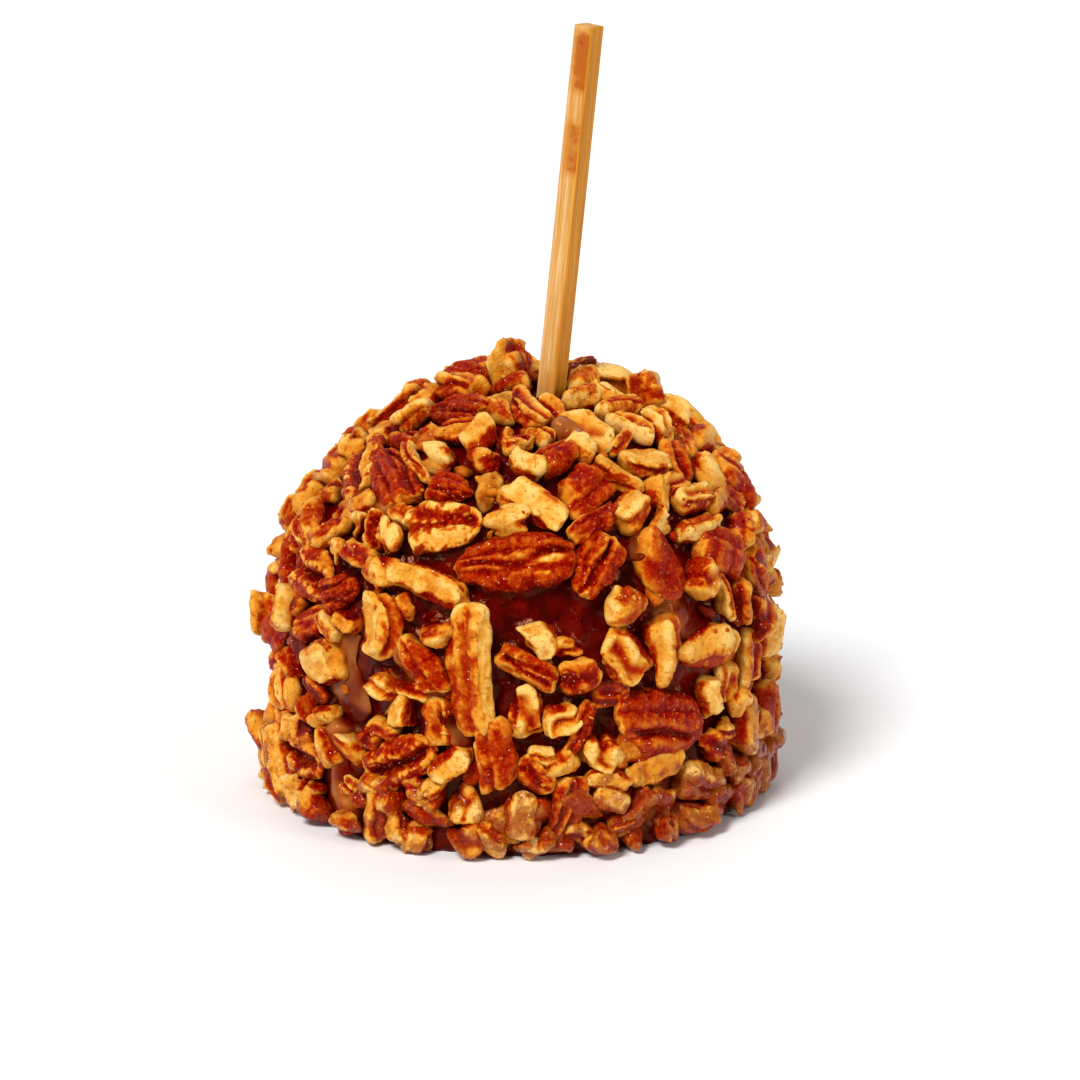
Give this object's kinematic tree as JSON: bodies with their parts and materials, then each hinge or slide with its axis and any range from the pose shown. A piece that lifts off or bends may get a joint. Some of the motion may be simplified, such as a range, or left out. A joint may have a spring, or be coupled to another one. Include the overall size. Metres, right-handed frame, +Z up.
{
  "type": "caramel apple",
  "caption": "Caramel apple rolled in chopped pecans, standing on its flat caramel foot, with a square bamboo stick to hold it by.",
  "frame": {"origin": "on the table under the middle of the whole object's box", "axes": "+Z up along the apple's height, -Y towards the shown side, +X to its right"},
  "size_m": [0.1012, 0.097, 0.1428],
  "materials": {
    "caramel": "glossy cooked caramel",
    "pecan_skin": "ribbed brown pecan skin with a thin caramel sheen",
    "pecan_kernel": "broken cream pecan flesh",
    "bamboo": "plain straight-grained bamboo, unvarnished"
  },
  "bodies": {
    "root": {"caramel_apple": "caramel", "pecan_bowl_01": "pecan_skin", "pecan_bowl_02": "pecan_skin", "pecan_bowl_03": "pecan_skin", "pecan_bowl_04": "pecan_skin", "pecan_bowl_05": "pecan_skin", "pecan_bowl_06": "pecan_skin", "pecan_bowl_07": "pecan_skin", "pecan_half_01": "pecan_skin", "pecan_half_02": "pecan_skin", "pecan_half_03": "pecan_skin", "pecan_half_04": "pecan_skin", "pecan_half_05": "pecan_skin", "pecan_half_06": "pecan_skin", "pecan_half_07": "pecan_skin", "pecan_kernel_01": "pecan_kernel", "pecan_kernel_02": "pecan_kernel", "pecan_kernel_03": "pecan_kernel", "pecan_kernel_04": "pecan_kernel", "pecan_kernel_05": "pecan_kernel", "pecan_kernel_06": "pecan_kernel", "pecan_kernel_07": "pecan_kernel", "pecan_kernel_08": "pecan_kernel", "pecan_kernel_09": "pecan_kernel", "pecan_kernel_10": "pecan_kernel", "pecan_kernel_11": "pecan_kernel", "pecan_kernel_12": "pecan_kernel", "pecan_kernel_13": "pecan_kernel", "pecan_kernel_14": "pecan_kernel", "pecan_kernel_15": "pecan_kernel", "pecan_kernel_16": "pecan_kernel", "pecan_kernel_17": "pecan_kernel", "pecan_kernel_18": "pecan_kernel", "pecan_kernel_19": "pecan_kernel", "pecan_kernel_20": "pecan_kernel", "pecan_kernel_21": "pecan_kernel", "pecan_lobe_01": "pecan_skin", "pecan_lobe_02": "pecan_skin", "pecan_lobe_03": "pecan_skin", "pecan_lobe_04": "pecan_skin", "pecan_lobe_05": "pecan_skin", "pecan_lobe_06": "pecan_skin", "pecan_lobe_07": "pecan_skin", "pecan_lobe_08": "pecan_skin", "pecan_lobe_09": "pecan_skin", "pecan_lobe_10": "pecan_skin", "pecan_lobe_11": "pecan_skin", "pecan_lobe_12": "pecan_skin", "pecan_lobe_13": "pecan_skin", "pecan_nib_01": "pecan_kernel", "pecan_nib_02": "pecan_kernel", "pecan_nib_03": "pecan_kernel", "pecan_nib_04": "pecan_kernel", "pecan_nib_05": "pecan_kernel", "pecan_nib_06": "pecan_kernel", "pecan_nib_07": "pecan_kernel", "pecan_nib_08": "pecan_kernel", "pecan_nib_09": "pecan_kernel", "pecan_nib_10": "pecan_kernel", "stick": "bamboo"}
  },
  "joints": []
}
